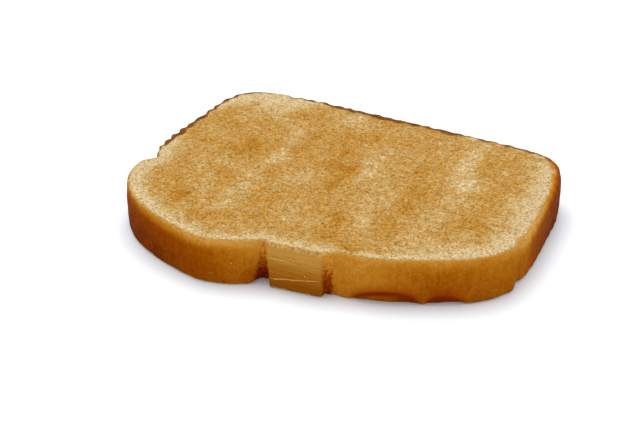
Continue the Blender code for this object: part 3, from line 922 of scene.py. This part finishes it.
torn = {
    # x and height at each end, thickness, and how much of it the right end keeps
    "strands": [((-0.0037, 0.0106), (0.0060, 0.0101), 0.00040, 0.3),
                ((-0.0030, 0.0036), (0.0124, 0.0060), 0.00031, 0.6),
                ((0.0066, 0.0101), (0.0122, 0.0094), 0.00013, 0.7)],
    "strandSides": 7, "strandSteps": 60, "sunk": 0.00005, "flattened": 0.8, "rayFrom": -0.08,
    # how far a strand wanders up and down, and over which length
    "wander": (0.00012, 0.0028),
    # thickness along a strand: usual, how much it varies, and over which length
    "uneven": (0.8, 0.7, 0.0009),
    # both ends taper: how fast, and what is left at the very end
    "taper": (8, 0.1),
    # x, height and radius
    "crumbs": [(-0.0135, 0.0077, 0.00030), (0.0032, 0.0114, 0.00038), (0.0040, 0.0109, 0.00026),
               (0.0024, 0.0110, 0.00022), (0.0074, 0.0066, 0.00036), (0.0081, 0.0063, 0.00022)],
    "crumbStretch": (0.75, 1.25), "crumbRough": 0.45, "crumbLumps": 1.3, "crumbLift": 0.5,
    "tone": -0.25,
}


def frontSurface(surface, x, height):
    # the point of the body's front crust at this place, and its direction
    hit, normal, _, _ = surface.ray_cast((x, torn["rayFrom"], height), (0, 1, 0))
    return hit, normal


def addStrand(mesh, surface, start, end, thick, keeps):
    sides, steps = torn["strandSides"], torn["strandSteps"]
    wander, wanderLength = torn["wander"]
    usual, varies, length = torn["uneven"]
    fast, left = torn["taper"]
    turns = [2 * math.pi * side / sides for side in range(sides)]
    rings = []
    for step in range(steps + 1):
        share = step / steps
        x = start[0] + (end[0] - start[0]) * share
        height = start[1] + (end[1] - start[1]) * share + wander * noise.noise((x / wanderLength, thick, 0))
        at, _ = frontSurface(surface, x, height)
        radius = thick * (1 - (1 - keeps) * share) * (usual + varies * noise.noise((x / length, 5.0, thick)))
        radius *= min(1, fast * share + left, fast * (1 - share) + left)
        rings.append([mesh.verts.new((x, at.y - torn["sunk"] + radius * math.cos(turn),
                                      height + torn["flattened"] * radius * math.sin(turn)))
                      for turn in turns])
    for before, after in zip(rings, rings[1:]):
        for side in range(sides):
            mesh.faces.new((before[side], before[side - 1], after[side - 1], after[side]))
    mesh.faces.new(rings[0])
    mesh.faces.new(rings[-1][::-1])


def makeTorn(name):
    draw = np.random.default_rng(12)
    surface = bodySurface()
    mesh = bmesh.new()
    for start, end, thick, keeps in torn["strands"]:
        addStrand(mesh, surface, start, end, thick, keeps)
    for x, height, size in torn["crumbs"]:
        at, normal = frontSurface(surface, x, height)
        made = bmesh.ops.create_icosphere(mesh, subdivisions=2, radius=size)["verts"]
        stretch = Vector(draw.uniform(*torn["crumbStretch"], 3))
        ownLumps = Vector((x, height, 0)) * 900
        for vert in made:
            vert.co *= 1 + torn["crumbRough"] * noise.noise(vert.co / size * torn["crumbLumps"] + ownLumps)
            vert.co = vert.co * stretch + at + normal * size * torn["crumbLift"]
    bmesh.ops.recalc_face_normals(mesh, faces=mesh.faces)
    data = bpy.data.meshes.new(name)
    mesh.to_mesh(data)
    mesh.free()
    setAttribute(data, "crustTone", np.full(len(data.vertices), torn["tone"]))
    setAttribute(data, "crustSoft", np.ones(len(data.vertices)))
    # far down from the cut, so that all of it counts as crust
    setAttribute(data, "fromCut", np.full(len(data.vertices), 9.0))
    data.shade_smooth()
    return addObject(name, data)


# stage

stageSet = {
    "floorSize": 3.0, "floorColour": (234, 238, 243), "floorRoughness": 0.9, "floorSpecular": 0.1,
    "worldColour": (1.0, 1.0, 1.0), "worldStrength": 0.80,
    "softbox": {"place": (-0.20, 0.20, 1.1), "size": 0.9, "power": 10.0},
    "fill": {"place": (0.7, -0.9, 0.6), "size": 0.5, "power": 1.0},
}


def makeStage():
    bpy.ops.mesh.primitive_plane_add(size=stageSet["floorSize"])
    floor = bpy.context.object
    floor.name = "floor"
    material = bpy.data.materials.new("palePaper")
    material.use_nodes = True
    shader = material.node_tree.nodes["Principled BSDF"]
    shader.inputs["Base Color"].default_value = linearColour(stageSet["floorColour"])
    shader.inputs["Roughness"].default_value = stageSet["floorRoughness"]
    shader.inputs["Specular IOR Level"].default_value = stageSet["floorSpecular"]
    floor.data.materials.append(material)
    world = bpy.data.worlds.new("studio")
    world.use_nodes = True
    background = world.node_tree.nodes["Background"]
    background.inputs[0].default_value = (*stageSet["worldColour"], 1)
    background.inputs[1].default_value = stageSet["worldStrength"]
    bpy.context.scene.world = world
    # both lamps point at the slice
    for name in ("softbox", "fill"):
        lamp = stageSet[name]
        light = bpy.data.lights.new(name, "AREA")
        light.shape = "SQUARE"
        light.size = lamp["size"]
        light.energy = lamp["power"]
        stand = addObject(name, light)
        stand.location = lamp["place"]
        aim = -stand.location
        stand.rotation_euler = aim.to_track_quat("-Z", "Y").to_euler()


# camera: where the photograph was taken from

cameraSetup = {
    "azimuth": 26.13, "elevation": 32.0, "distance": 0.48309,
    "target": (0.00286, -0.02160, 0.0150),
    "focalPixels": 1700, "imageWidth": 631, "sensor": 36.0, "clipStart": 0.01,
}


def makeCamera():
    setup = cameraSetup
    data = bpy.data.cameras.new("camera")
    data.sensor_width = setup["sensor"]
    data.lens = setup["focalPixels"] * setup["sensor"] / setup["imageWidth"]
    data.clip_start = setup["clipStart"]
    camera = addObject("camera", data)
    azimuth, elevation = math.radians(setup["azimuth"]), math.radians(setup["elevation"])
    back = Vector((math.sin(azimuth) * math.cos(elevation), -math.cos(azimuth) * math.cos(elevation),
                   math.sin(elevation)))
    camera.location = Vector(setup["target"]) + back * setup["distance"]
    camera.rotation_mode = "QUATERNION"
    camera.rotation_quaternion = (-back).to_track_quat("-Z", "Y")
    bpy.context.scene.camera = camera


plan = tracePlan()
makeCamera()
makeStage()
bpy.context.scene.view_settings.view_transform = "Standard"
say("stage and camera")

toastBody = makeToastBody()
toastMaterial = makeToastMaterial()
toastBody.data.materials.append(toastMaterial)
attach(toastBody, "root")
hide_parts("toast_slice")
say("body")

for piece in (makeGrains("crumbGrainsUpper", 1, grains["upper"], 5),
              makeGrains("crumbGrainsLower", -1, grains["lower"], 6), makeTorn("tornStrands")):
    piece.data.materials.append(toastMaterial)
    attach(piece, "root")
say("grains and strands")
